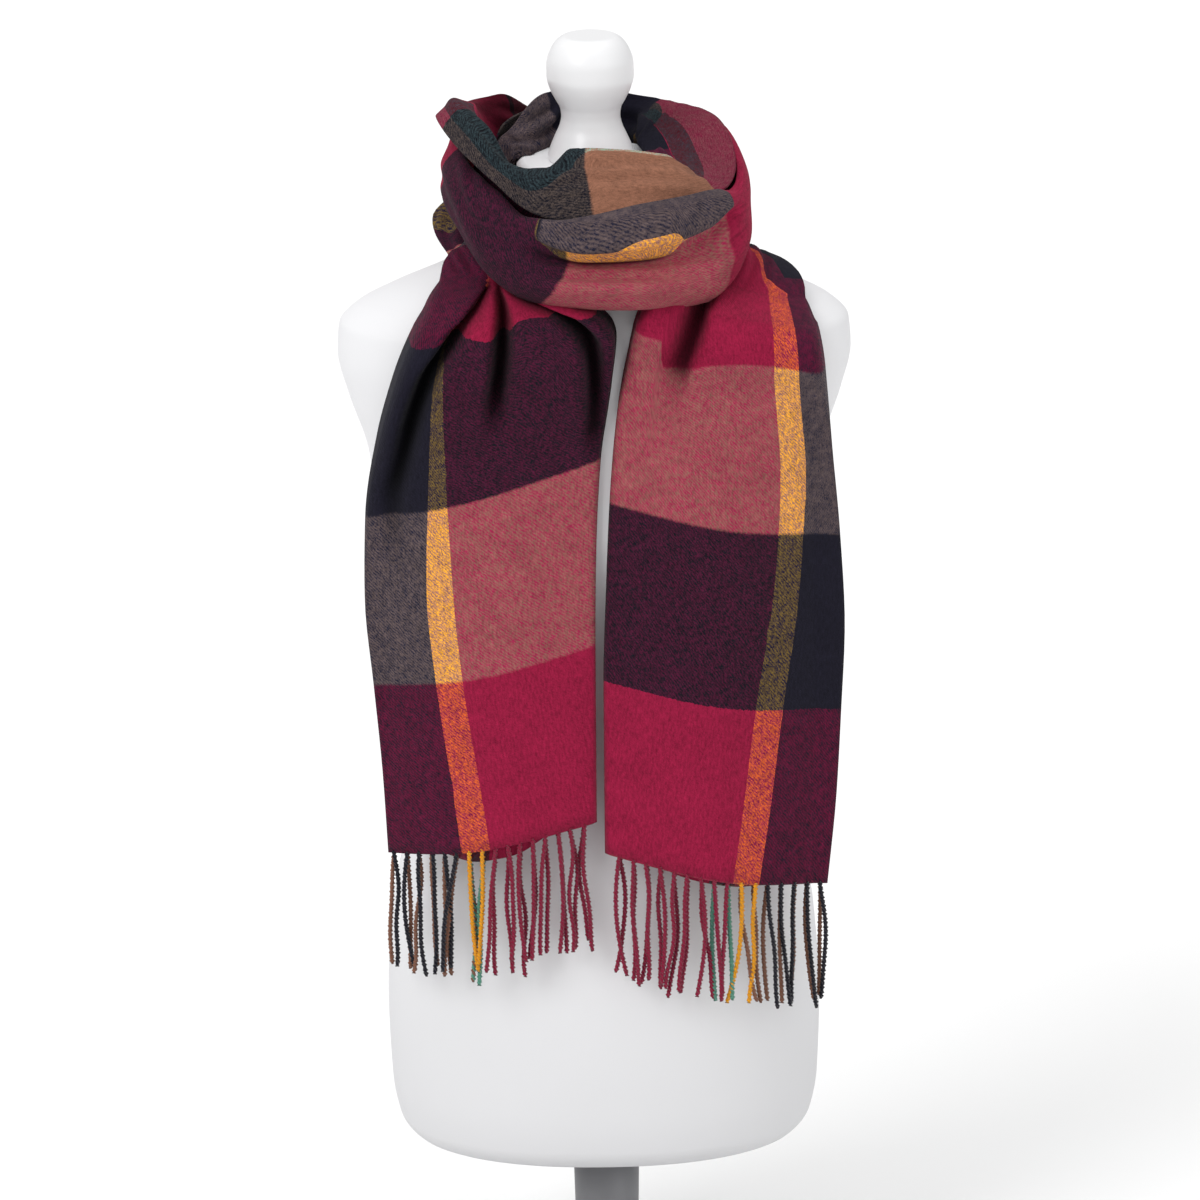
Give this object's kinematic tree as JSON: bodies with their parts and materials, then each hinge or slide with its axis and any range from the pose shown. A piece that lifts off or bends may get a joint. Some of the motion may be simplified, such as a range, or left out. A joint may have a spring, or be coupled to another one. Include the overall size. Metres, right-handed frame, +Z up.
{
  "type": "blanket scarf on a dress form",
  "caption": "Long checked blanket scarf, folded double and wound once round a limbless dress form's neck, with both twisted-fringe ends hanging in front and the form on a round base.",
  "frame": {"origin": "centre of the round base's underside", "axes": "+Z up along the stand; -Y is the wearer's front, where both ends of the scarf hang; +X is to the right as seen from the front"},
  "size_m": [0.372, 0.3, 0.981],
  "materials": {
    "tail_left": "brushed twill, checked",
    "back_inner": "brushed twill, checked",
    "loop_front": "brushed twill, checked",
    "back_outer": "brushed twill, checked",
    "tail_right": "brushed twill, checked",
    "fringe_left": "two-ply twisted yarn ends",
    "fringe_right": "two-ply twisted yarn ends",
    "torso": "smooth stretch cover",
    "neck_cap": "smooth white lacquer",
    "stand_pole": "satin grey",
    "stand_base": "satin grey"
  },
  "bodies": {
    "root": {"tail_left": "tail_left", "back_inner": "back_inner", "loop_front": "loop_front", "back_outer": "back_outer", "tail_right": "tail_right", "fringe_left": "fringe_left", "fringe_right": "fringe_right", "torso": "torso", "neck_cap": "neck_cap", "stand_pole": "stand_pole", "stand_base": "stand_base"}
  },
  "joints": []
}
